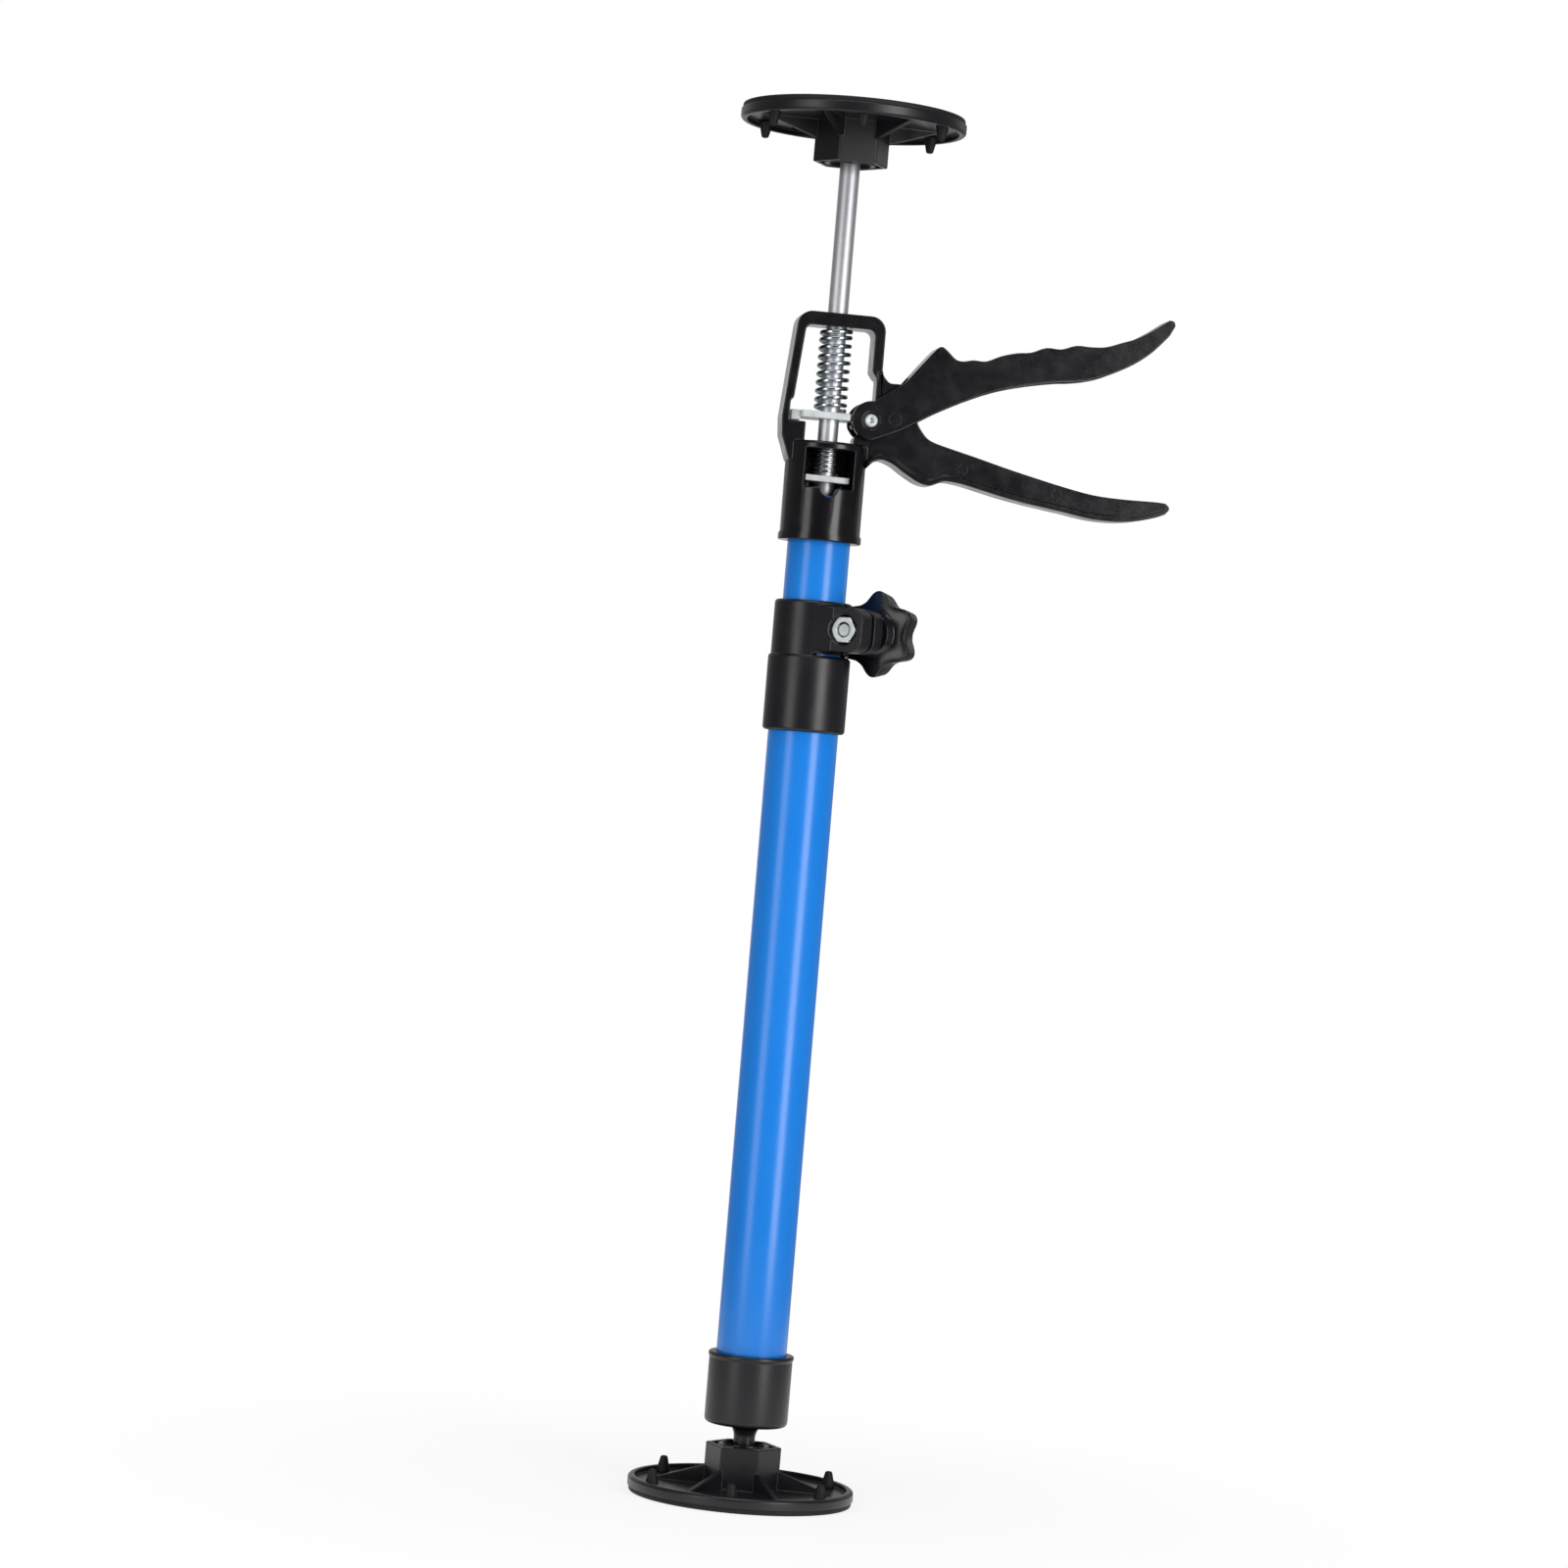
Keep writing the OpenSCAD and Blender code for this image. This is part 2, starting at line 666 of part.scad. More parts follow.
module clamp_knob() {
    n = lobe_count * lobe_points;
    color([0.14, 0.14, 0.15]) on_bolt() translate([bolt_offset, 0, 0]) difference() {
        union() {
            translate([0, 0, knob_z()]) rotate_extrude() polygon([[0, 0], [knob_root_r, 0],
                [knob_root_r, knob_root_h], [knob_hub_r, knob_root_h],
                [knob_hub_top_r, star_seat - knob_z() + over / 2],
                [0, star_seat - knob_z() + over / 2]]);
            intersection() {
                translate([0, 0, star_seat]) linear_extrude(height = star_t)
                    polygon([for (i = [0:n - 1]) star_edge(i * 360 / n)
                        * [sin(i * 360 / n), cos(i * 360 / n)]]);
                translate([0, 0, star_seat]) rotate_extrude() polygon([[0, -over],
                    [star_r - star_edge_t / 2, -over], [star_r - star_edge_t / 2, 0],
                    [star_r, star_edge_t / 2], [star_r, star_edge_t],
                    [star_r * star_face_share, star_t - star_edge_t],
                    [star_r * star_face_share - star_edge_t, star_t],
                    [star_r * star_face_share - star_edge_t, star_t + over],
                    [0, star_t + over]]);
            }
            translate([0, 0, star_seat + star_t - over / 2])
                cylinder(r1 = knob_boss_r, r2 = knob_boss_r * 0.9, h = knob_boss_t + over / 2);
        }
        translate([0, 0, knob_z() - over])
            cylinder(r = bolt_r + press_gap, h = stud_grip + over + press_gap);
    }
}

// plug in the lower end of the inner tube, which turns on its spigot
module guide_bush() {
    z0 = inner_z() - bush_flange - seat_gap;
    color("ivory") difference() {
        translate([0, 0, z0]) rotate_extrude() polygon([[bush_bore_r, 0],
            [outer_bore_r - run_gap * 2, 0], [outer_bore_r - run_gap, over],
            [outer_bore_r - run_gap, bush_flange], [inner_bore_r - run_gap, bush_flange],
            [inner_bore_r - run_gap, bush_flange + bush_spigot - over],
            [inner_bore_r - over, bush_flange + bush_spigot],
            [bush_bore_r, bush_flange + bush_spigot]]);
    }
}

function inner_z() = tube_z + bush_lift + bush_flange;
function inner_len() = socket_z + tube_seat_up - inner_z();

module inner_tube() {
    color([0.12, 0.5, 0.89]) difference() {
        translate([0, 0, inner_z()]) cylinder(r = inner_r, h = inner_len() - press_gap);
        translate([0, 0, inner_z() - over]) cylinder(r = inner_bore_r, h = inner_len() + over * 2);
        screw_seat(socket_screw_z, socket_r);
    }
}

// outer and inner outlines of the window frame
frame_outline = concat(
    [[0, leg_foot_z], [-socket_r + 0.1, leg_foot_z], [ankle_x, shelf_z + ankle_h],
    [knee_x, shelf_z + knee_h], [elbow_x, shelf_z + elbow_h],
    [left_top_x, frame_top - outer_corner_r]],
    arc([left_top_x + outer_corner_r, frame_top - outer_corner_r], outer_corner_r, 180, 90, 8),
    arc([right_outer_x - outer_corner_r, frame_top - outer_corner_r], outer_corner_r, 90, 0, 8),
    [[right_outer_x, step_z], [step_x, step_z], [step_x, step_z - step_drop],
    [0, step_z - step_drop]]);
window_outline = concat(
    [[ledge_x, shelf_z], [ledge_x, shelf_z + ledge_h], [left_inner_low_x - notch_d, shelf_z + ledge_h],
    [left_inner_low_x - notch_d, shelf_z + ledge_h + notch_h - notch_d],
    [left_inner_low_x, shelf_z + ledge_h + notch_h]],
    arc([left_inner_top_x + inner_corner_r, window_top - inner_corner_r],
        inner_corner_r, 175, 90, 6),
    arc([right_inner_x - inner_corner_r, window_top - inner_corner_r],
        inner_corner_r, 90, 0, 6),
    [[right_inner_x, step_z], [step_x, step_z - step_drop],
    [step_x + over, step_z - step_drop - over], [step_x + over, shelf_z]]);

pivot = [pivot_x, pivot_z];
handle_top = shifted(smooth(scaled(handle_top_shares, handle_reach), spline_steps), pivot);
handle_tip = shifted(scaled(handle_tip_shares, handle_reach), pivot);
handle_low = shifted(smooth(scaled(handle_low_shares, handle_reach), spline_steps), pivot);
chamber_x = chamber_w / 2;
// ear, web and handle in one outline, clockwise from the right leg
web_outline = concat(
    [[step_x, step_z + step_drop], [right_outer_x, step_z + step_drop]],
    arc([right_outer_x + nose_r, step_z + step_drop], nose_r, 180, 240, 6),
    arc(pivot, ear_guide_r, 55, 8, 10),
    handle_top, handle_tip, handle_low,
    [[socket_r - floor_t, shelf_z - socket_h / 2 + ear_r], [chamber_x, chamber_z],
    [chamber_x, shelf_z + over * 2.6], [pivot_x - ear_r * 0.73, pivot_z - ear_r * 0.92]],
    arc(pivot, ear_r, 225, 100, 10),
    [[step_x, pivot_z + nose_r]]);
// raised rail along the lower edge of the handle
rail_outline = concat(handle_low, [for (i = [len(handle_low) - 1:-1:0])
    handle_low[i] + [0, rail_t]]);

module gun_frame() {
    color([0.15, 0.15, 0.17]) difference() {
        union() {
            difference() {
                union() {
                    translate([0, 0, socket_z]) rotate_extrude() polygon([[0, 0],
                        [socket_r + socket_flange_w, 0],
                        [socket_r + socket_flange_w, socket_flange_h * 0.7],
                        [socket_r, socket_flange_h], [socket_r, socket_h - edge_round / 2],
                        [socket_r - edge_round / 2, socket_h], [0, socket_h]]);
                    difference() {
                        side_plate(frame_outline, frame_depth);
                        side_plate(window_outline, frame_depth + over * 2);
                    }
                    side_plate(web_outline, web_t);
                    side_plate(rail_outline, frame_depth);
                }
                translate([-chamber_x, -socket_d, chamber_z])
                    cube([chamber_w, socket_d + chamber_back, shelf_z - shelf_t - chamber_z]);
                translate([0, 0, chamber_z]) rotate([90, 0, 0])
                    cylinder(r = finger_notch_r, h = socket_d);
            }
            // ledge under the fixed end of the brake plate
            translate([-chamber_x - over, -brake_back, chamber_z - over])
                cube([brake_ledge_w + over, brake_back * 2, brake_seat + over]);
        }
        translate([0, 0, socket_z - over])
            cylinder(r = inner_r + press_gap, h = tube_seat_up + over);
        translate([0, 0, socket_z]) cylinder(r = rod_hole_r, h = frame_top - socket_z + over);
        translate([pivot_x, 0, pivot_z]) rotate([90, 0, 0])
            cylinder(r = rivet_r + press_gap, h = web_t + over * 2, center = true);
        screw_seat(socket_screw_z, socket_r - press_gap);
    }
}

module socket_screw() {
    color("silver") back_screw(socket_screw_z, socket_r, socket_r - inner_bore_r);
}

trigger_top = smooth(scaled(trigger_top_shares, trigger_reach), spline_steps);
trigger_tip = scaled(trigger_tip_shares, trigger_reach);
trigger_low = smooth(scaled(trigger_low_shares, trigger_reach), spline_steps);
trigger_outline = concat(arc([0, 0], nose_r, 276, 86, 20), trigger_top, trigger_tip, trigger_low);
// the space between the cheeks, under the top wall
channel_outline = concat(
    [[-nose_r * 2, -nose_r * 2], [-nose_r * 2, nose_r * 2],
    [trigger_reach * channel_start_share, trigger_reach * 0.2]],
    [for (q = trigger_top) if (q[0] > trigger_reach * channel_start_share
        && q[0] < trigger_reach * channel_end_share) q - [0, top_wall]],
    [for (q = trigger_low) if (q[0] < trigger_reach * channel_end_share) q - [0, over]],
    [[0, -nose_r * 2]]);

module trigger() {
    color([0.15, 0.15, 0.17]) translate([pivot_x, 0, pivot_z]) difference() {
        union() {
            difference() {
                side_plate(trigger_outline, trigger_w);
                side_plate(channel_outline, cheek_gap * 2);
            }
            // bar across the cheeks that lifts the drive plate
            rotate([0, nose_rest_angle(), 0]) translate([-nose_arm, 0, 0]) rotate([90, 0, 0])
                cylinder(r = nose_bar_r, h = trigger_w - cheek_t, center = true);
        }
        rotate([90, 0, 0]) cylinder(r = rivet_r + run_gap, h = trigger_w + over * 2, center = true);
        for (s = [-1, 1]) translate([0, s * trigger_w / 2, 0]) rotate([90, 0, 0])
            cylinder(r = rivet_recess_r, h = rivet_head_t * 2, center = true);
    }
}

// angle at which the bar lies just under the drive plate
function nose_rest_angle() = -asin((pivot_z + nose_bar_r + free_gap - drive_z) / nose_arm);

module trigger_rivet() {
    half = trigger_w / 2;
    color("silver") translate([pivot_x, 0, pivot_z]) rotate([90, 0, 0]) {
        cylinder(r = rivet_r, h = trigger_w - rivet_head_t, center = true);
        for (s = [-1, 1]) translate([0, 0, s * (half - rivet_head_t / 2 + run_gap)])
            cylinder(r = rivet_head_r, h = rivet_head_t - run_gap * 2, center = true);
    }
}

module drive_plate() {
    color("gainsboro") difference() {
        union() {
            translate([drive_body_x, -drive_depth / 2, drive_z])
                cube([drive_shoulder_x - drive_body_x, drive_depth, drive_t]);
            translate([0, -drive_tongue_w / 2, drive_z])
                cube([drive_x1, drive_tongue_w, drive_t]);
            translate([drive_x0, -drive_tail_w / 2, drive_z])
                cube([-drive_x0, drive_tail_w, drive_t]);
            translate([drive_x0, -drive_tail_w / 2, drive_z - drive_tail_drop])
                cube([drive_tail, drive_tail_w, drive_t + drive_tail_drop]);
        }
        translate([0, 0, drive_z - over]) cylinder(r = drive_hole_r, h = drive_t + over * 2);
    }
}

module brake_plate() {
    color("gainsboro") translate([-brake_x, 0, brake_z]) rotate([0, brake_tilt, 0])
        difference() {
            translate([0, -brake_front, 0])
                cube([brake_x * 2, brake_front + brake_back, brake_t]);
            translate([brake_x, 0, -over]) cylinder(r = brake_hole_r, h = brake_t + over * 2);
        }
}

// height of the wire of a spring after u turns: the two end turns lie close
function spring_rise(u, n, h, w) =
    let (close = w + turn_gap, open = (h - w - close * 2) / (n - 2))
    w / 2 + (u < 1 ? close * u : u > n - 1 ? close + open * (n - 2) + close * (u - n + 1)
    : close + open * (u - 1));

rings_per_turn = 8;
wire_sides = 6;
// one ring of points round the wire after i steps
function wire_ring(i, n, h, r, w) =
    let (u = i / rings_per_turn, a = u * 360, z = spring_rise(u, n, h, w))
    [for (k = [0:wire_sides - 1]) let (b = k * 360 / wire_sides)
        [(r + w / 2 * cos(b)) * cos(a), (r + w / 2 * cos(b)) * sin(a), z + w / 2 * sin(b)]];

module coil_spring(n, h, r, w) {
    steps = n * rings_per_turn;
    m = wire_sides;
    points = [for (i = [0:steps]) each wire_ring(i, n, h, r, w)];
    sides = [for (i = [0:steps - 1]) for (k = [0:m - 1]) let (a = i * m + k,
        b = i * m + (k + 1) % m) each [[a, b, a + m], [b, b + m, a + m]]];
    start = [for (k = [1:m - 2]) [0, k + 1, k]];
    finish = [for (k = [1:m - 2]) [steps * m, steps * m + k, steps * m + k + 1]];
    polyhedron(points = points, faces = concat(sides, start, finish));
    gaps = [for (i = [0:steps - rings_per_turn]) for (p = wire_ring(i, n, h, r, w))
        for (q = wire_ring(i + rings_per_turn, n, h, r, w)) norm(p - q)];
    echo("least gap between turns", min(gaps));
}

module main_spring() {
    color("lightsteelblue") translate([0, 0, drive_z + drive_t + seat_gap])
        coil_spring(main_turns, window_top - drive_z - drive_t - seat_gap * 2,
            (main_spring_d - main_wire) / 2, main_wire);
}

module brake_spring() {
    low = brake_z + brake_t + seat_gap * 2;
    color("lightsteelblue") translate([0, 0, low])
        coil_spring(brake_turns, shelf_z - shelf_t - low - seat_gap,
            (brake_spring_d - brake_wire) / 2, brake_wire);
}

// rod with a groove for the stop clip and a peened spigot for the ball
module push_rod() {
    color("whitesmoke") rotate_extrude() polygon([[0, rod_z], [rod_r * 0.85, rod_z],
        [rod_r, rod_z + rod_r * 0.15], [rod_r, clip_z], [clip_groove_r, clip_z],
        [clip_groove_r, clip_z + clip_t + press_gap * 2], [rod_r, clip_z + clip_t + press_gap * 2],
        [rod_r, spigot_z], [spigot_r, spigot_z], [spigot_r, spigot_top + run_gap],
        [peen_r, spigot_top + run_gap], [peen_r, spigot_top + peen_t / 2],
        [peen_r * 0.6, spigot_top + peen_t], [0, spigot_top + peen_t]]);
}

// open clip in the groove of the rod, too wide to pass the floor of the socket
module rod_stop_clip() {
    color("silver") translate([0, 0, clip_z + press_gap]) difference() {
        cylinder(r = clip_r, h = clip_t);
        translate([0, 0, -over]) cylinder(r = clip_groove_r + press_gap, h = clip_t + over * 2);
        translate([0, -clip_groove_r * clip_open_share * 1.6, -over])
            cube([clip_r + over, clip_groove_r * clip_open_share * 3.2, clip_t + over * 2]);
    }
}

module head_ball() {
    color("silver") difference() {
        translate([0, 0, head_ball_z]) sphere(r = ball_r);
        translate([0, 0, head_ball_z - ball_r - over])
            cylinder(r = rod_r + run_gap, h = spigot_z + run_gap - head_ball_z + ball_r + over);
        translate([0, 0, head_ball_z - ball_r])
            cylinder(r = spigot_r + run_gap, h = ball_r * 2 + over);
        translate([0, 0, spigot_top])
            cylinder(r = peen_r + free_gap, h = ball_r);
    }
}

foot_grip_pad();
foot_pad();
foot_ball_stud();
foot_stud_washer();
foot_stud_screw();
foot_cap();
cap_screw();
outer_tube();
clamp_collar();
collar_screw();
clamp_nut();
clamp_washer();
clamp_stud();
clamp_knob();
guide_bush();
inner_tube();
gun_frame();
socket_screw();
trigger();
trigger_rivet();
drive_plate();
main_spring();
brake_plate();
brake_spring();
push_rod();
rod_stop_clip();
head_ball();
head_pad();
head_grip_pad();
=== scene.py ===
import json
import math

import bmesh
import bpy
import numpy as np
from mathutils import Matrix, Vector


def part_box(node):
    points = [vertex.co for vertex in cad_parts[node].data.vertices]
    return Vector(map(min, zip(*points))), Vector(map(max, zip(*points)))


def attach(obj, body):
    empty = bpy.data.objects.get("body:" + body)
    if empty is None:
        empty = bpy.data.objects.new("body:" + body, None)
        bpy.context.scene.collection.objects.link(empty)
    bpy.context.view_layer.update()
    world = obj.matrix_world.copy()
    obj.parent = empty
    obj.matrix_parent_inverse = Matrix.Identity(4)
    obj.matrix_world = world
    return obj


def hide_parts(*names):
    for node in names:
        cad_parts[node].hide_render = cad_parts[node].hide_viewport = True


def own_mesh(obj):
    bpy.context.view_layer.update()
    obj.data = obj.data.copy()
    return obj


# Dresses the telescopic support pole: moulded black plastic, enamelled tubes, plated steel.
# Lengths are in millimetres in every dictionary and call, and in metres only in the meshes.
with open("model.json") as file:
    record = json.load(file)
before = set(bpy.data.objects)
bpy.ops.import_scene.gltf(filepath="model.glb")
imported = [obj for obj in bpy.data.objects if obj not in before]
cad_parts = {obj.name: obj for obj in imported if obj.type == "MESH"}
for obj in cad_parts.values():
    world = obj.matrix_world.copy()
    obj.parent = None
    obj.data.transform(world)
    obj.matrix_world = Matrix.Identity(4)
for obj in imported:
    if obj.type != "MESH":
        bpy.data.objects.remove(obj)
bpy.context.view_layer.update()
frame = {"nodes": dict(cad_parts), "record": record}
mm = 0.001
mergeGap = 1e-6  # metres: points that lie closer are one point


def boxOf(node):
    # the node's lowest and highest corners in millimetres
    low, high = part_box(node)
    return np.array(low) / mm, np.array(high) / mm


def newObject(name, data):
    obj = bpy.data.objects.new(name, data)
    bpy.context.scene.collection.objects.link(obj)
    return obj


def makeObject(name, verts, faces):
    # an object from points in millimetres and lists of corner numbers
    mesh = bpy.data.meshes.new(name)
    mesh.from_pydata((np.asarray(verts, float) * mm).tolist(), [], [list(f) for f in faces])
    mesh.update()
    return newObject(name, mesh)


def gridFaces(rows, cols, closeRows=False):
    # quads between neighbouring rows of a grid whose columns go all the way round; closeRows
    # joins the last row to the first one too
    i = np.arange(rows if closeRows else rows - 1)
    i, j = (a.ravel() for a in np.meshgrid(i, np.arange(cols), indexing="ij"))
    a, b = i * cols + j, i * cols + (j + 1) % cols
    c, d = ((i + 1) % rows) * cols + (j + 1) % cols, ((i + 1) % rows) * cols + j
    return np.stack([a, b, c, d], 1).tolist()


def shade(obj, angle=40):
    # smooth faces, with a hard edge where two faces meet at more than the angle in degrees
    obj.data.polygons.foreach_set("use_smooth", np.ones(len(obj.data.polygons), bool))
    obj.data.set_sharp_from_angle(angle=math.radians(angle))


def makeSurface(name, verts, faces, angle=40):
    # an object with its doubled points merged, faces without area dropped and all others
    # turned outwards
    obj = makeObject(name, verts, faces)
    bm = bmesh.new()
    bm.from_mesh(obj.data)
    bmesh.ops.remove_doubles(bm, verts=bm.verts, dist=mergeGap)
    bmesh.ops.dissolve_degenerate(bm, edges=bm.edges, dist=mergeGap)
    bmesh.ops.recalc_face_normals(bm, faces=bm.faces)
    bm.to_mesh(obj.data)
    bm.free()
    shade(obj, angle)
    return obj


def bake(obj):
    # puts the result of the modifiers into the mesh
    graph = bpy.context.evaluated_depsgraph_get()
    mesh = bpy.data.meshes.new_from_object(obj.evaluated_get(graph), depsgraph=graph)
    obj.modifiers.clear()
    obj.data = mesh


def rounded(points, radius, steps=5, closed=True):
    # every corner of the outline becomes an arc that starts radius before it, or just under
    # half an edge; the arc is (1 - t)^2 times its start, plus 2t(1 - t) times the corner, plus
    # t^2 times its end
    share = 0.49  # of an edge that one arc may take
    p = np.asarray(points, float)
    out = []
    for k, corner in enumerate(p):
        before, after = p[k - 1], p[(k + 1) % len(p)]
        toBefore, toAfter = np.linalg.norm(before - corner), np.linalg.norm(after - corner)
        r = radius[k] if np.ndim(radius) else radius
        cutBefore, cutAfter = min(r, toBefore * share), min(r, toAfter * share)
        isEnd = not closed and k in (0, len(p) - 1)
        if isEnd or min(cutBefore, cutAfter) < 1e-6:
            out.append(corner[None])
            continue
        start = corner + (before - corner) / toBefore * cutBefore
        end = corner + (after - corner) / toAfter * cutAfter
        t = np.linspace(0, 1, steps + 1)[:, None]
        out.append((1 - t) ** 2 * start + 2 * t * (1 - t) * corner + t ** 2 * end)
    return np.concatenate(out)


def ringPoints(profile, steps):
    # each profile point (radius r, height h) goes round Z: x = r cos a, y = r sin a, z = h
    p = np.asarray(profile, float)
    a = np.arange(steps) * 2 * math.pi / steps
    return np.stack([p[:, :1] * np.cos(a), p[:, :1] * np.sin(a),
                     np.repeat(p[:, 1:], steps, 1)], 2).reshape(-1, 3)


def turned(name, profile, steps=160, centre=(0, 0, 0), turn=None):
    # a closed profile turned about Z, then tipped by the rotation turn and put at the centre
    pts = ringPoints(profile, steps)
    if turn is not None:
        pts = pts @ np.array(turn.to_3x3()).T
    return makeSurface(name, pts + np.array(centre), gridFaces(len(profile), steps, True))


def joined(name, objs):
    # several meshes as one, without their old objects
    bm = bmesh.new()
    for old in objs:
        bm.from_mesh(old.data)
        bpy.data.objects.remove(old)
    mesh = bpy.data.meshes.new(name)
    bm.to_mesh(mesh)
    bm.free()
    obj = newObject(name, mesh)
    shade(obj)
    return obj


# the rear screws: height of each and the y where its seat starts, and how far a seat reaches
screwSeats = [(317.2, 12), (389.4, 12)]
seatReach = 4.2

# edges that bend more than bend get a bevel, faces that bend less than flat are merged
# first, and edges sharper than crease stay hard; all in degrees
moulding = {"bend": 35, "flat": 0.6, "crease": 50, "segments": 3}


def nearSeat(point):
    return any(abs(point.z / mm - z) < seatReach and abs(point.x) / mm < seatReach
               and point.y / mm > y for z, y in screwSeats)


def softened(node, name, width):
    # the moulding itself with its edges rounded to the given width, but for its screw seats
    obj = newObject(name, frame["nodes"][node].data.copy())
    obj.data.materials.clear()
    bm = bmesh.new()
    bm.from_mesh(obj.data)
    bmesh.ops.remove_doubles(bm, verts=bm.verts, dist=2 * mergeGap)
    bmesh.ops.dissolve_degenerate(bm, edges=bm.edges, dist=2 * mergeGap)
    bmesh.ops.dissolve_limit(bm, angle_limit=math.radians(moulding["flat"]), verts=bm.verts,
                             edges=bm.edges)
    weight = bm.edges.layers.float.new("bevel_weight_edge")
    bend = math.radians(moulding["bend"])
    for edge in bm.edges:
        bent = len(edge.link_faces) == 2 and edge.calc_face_angle() > bend
        edge[weight] = float(bent and not nearSeat((edge.verts[0].co + edge.verts[1].co) / 2))
    bm.to_mesh(obj.data)
    bm.free()
    bevel = obj.modifiers.new("edges", "BEVEL")
    bevel.width = width * mm
    bevel.segments = moulding["segments"]
    bevel.limit_method = "WEIGHT"
    bevel.use_clamp_overlap = False
    bevel.miter_outer = "MITER_ARC"
    bake(obj)
    shade(obj, moulding["crease"])
    obj.modifiers.new("even", "WEIGHTED_NORMAL").keep_sharp = True
    bake(obj)
    return obj


# materials

# low and high are the colours at both ends of the drift, spread is how far the roughness
# drifts, blotch and grain are the sizes of the patches and of the relief, bump its height
finishes = {
    # stoving enamel on drawn tube: glossy, a faint orange peel of 2 mm, even colour
    "blue_paint": {"name": "blueEnamel", "low": "#0E76D2", "high": "#157CD9",
                   "metallic": 0.0, "roughness": 0.25, "spread": 0.03, "grain": 2.0,
                   "bump": 0.006, "blotch": 40},
    # moulded polypropylene: near black, satin, a spark-eroded grain drawn at 0.6 mm, which is
    # coarser than the real one so that it shows
    "black_plastic": {"name": "blackPolypropylene", "low": "#100F13", "high": "#17161B",
                      "metallic": 0.0, "roughness": 0.34, "spread": 0.04, "grain": 0.6,
                      "bump": 0.025, "blotch": 18},
    # glass-filled nylon of the jack and the knob: blacker and smoother, with a mottled skin
    "jackNylon": {"name": "blackNylon", "low": "#0A090D", "high": "#111015",
                  "metallic": 0.0, "roughness": 0.22, "spread": 0.05, "grain": 0.9,
                  "bump": 0.02, "blotch": 7},
    # moulded rubber: matt and a little paler than the nylon
    "rubber": {"name": "blackRubber", "low": "#111114", "high": "#18181B",
               "metallic": 0.0, "roughness": 0.62, "spread": 0.06, "grain": 0.7,
               "bump": 0.03, "blotch": 12, "specular": 0.35},
    # natural nylon: milky and smooth
    "natural_plastic": {"name": "naturalNylon", "low": "#DDD7C4", "high": "#E8E3D3",
                        "metallic": 0.0, "roughness": 0.4, "spread": 0.04, "grain": 1.2,
                        "bump": 0.01, "blotch": 10},
    # zinc plating on stamped steel: a pale grey metal with cloudy patches, whose haze scatters
    # part of the light, so metallic is under 1
    "zinc_steel": {"name": "zincPlate", "low": "#CED6D9", "high": "#E6E9E8",
                   "metallic": 0.65, "roughness": 0.38, "spread": 0.07, "grain": 0.6,
                   "bump": 0.01, "blotch": 5},
    # zinc plated spring wire: smoother than the plate, colder in colour
    "spring_steel": {"name": "springWire", "low": "#B9C6CE", "high": "#D8DEE1",
                     "metallic": 1.0, "roughness": 0.22, "spread": 0.05, "grain": 0.5,
                     "bump": 0.008, "blotch": 4},
    # hard chrome on a ground bar: pale and hazy in this light, with hairlines round the bar
    "chrome_rod": {"name": "groundChrome", "low": "#D9D9DE", "high": "#E6E6EA",
                   "metallic": 1.0, "roughness": 0.5, "spread": 0.02, "grain": 0.25,
                   "bump": 0.0003, "blotch": 9, "stretch": (1, 1, 6)},
}


def toLinear(code):
    # an sRGB hex colour as a linear one
    c = np.array([int(code[k:k + 2], 16) for k in (1, 3, 5)]) / 255
    c = np.where(c <= 0.04045, c / 12.92, ((c + 0.055) / 1.055) ** 2.4)
    return (*c, 1.0)


def grey(level):
    return (level, level, level, 1)


def addNode(tree, kind, links=None, **settings):
    # a node with its settings: in_NAME or in_NUMBER sets that input's own value, and links
    # joins an input to a (node, output)
    node = tree.nodes.new(kind)
    for key, value in settings.items():
        if key.startswith("in_"):
            socket = key[3:].replace("_", " ")
            node.inputs[int(socket) if socket.isdigit() else socket].default_value = value
        else:
            setattr(node, key, value)
    for key, (source, output) in (links or {}).items():
        tree.links.new(source.outputs[output], node.inputs[key])
    return node


def newMaterial(name):
    material = bpy.data.materials.new(name)
    material.use_nodes = True
    tree = material.node_tree
    tree.nodes.clear()
    return material, tree


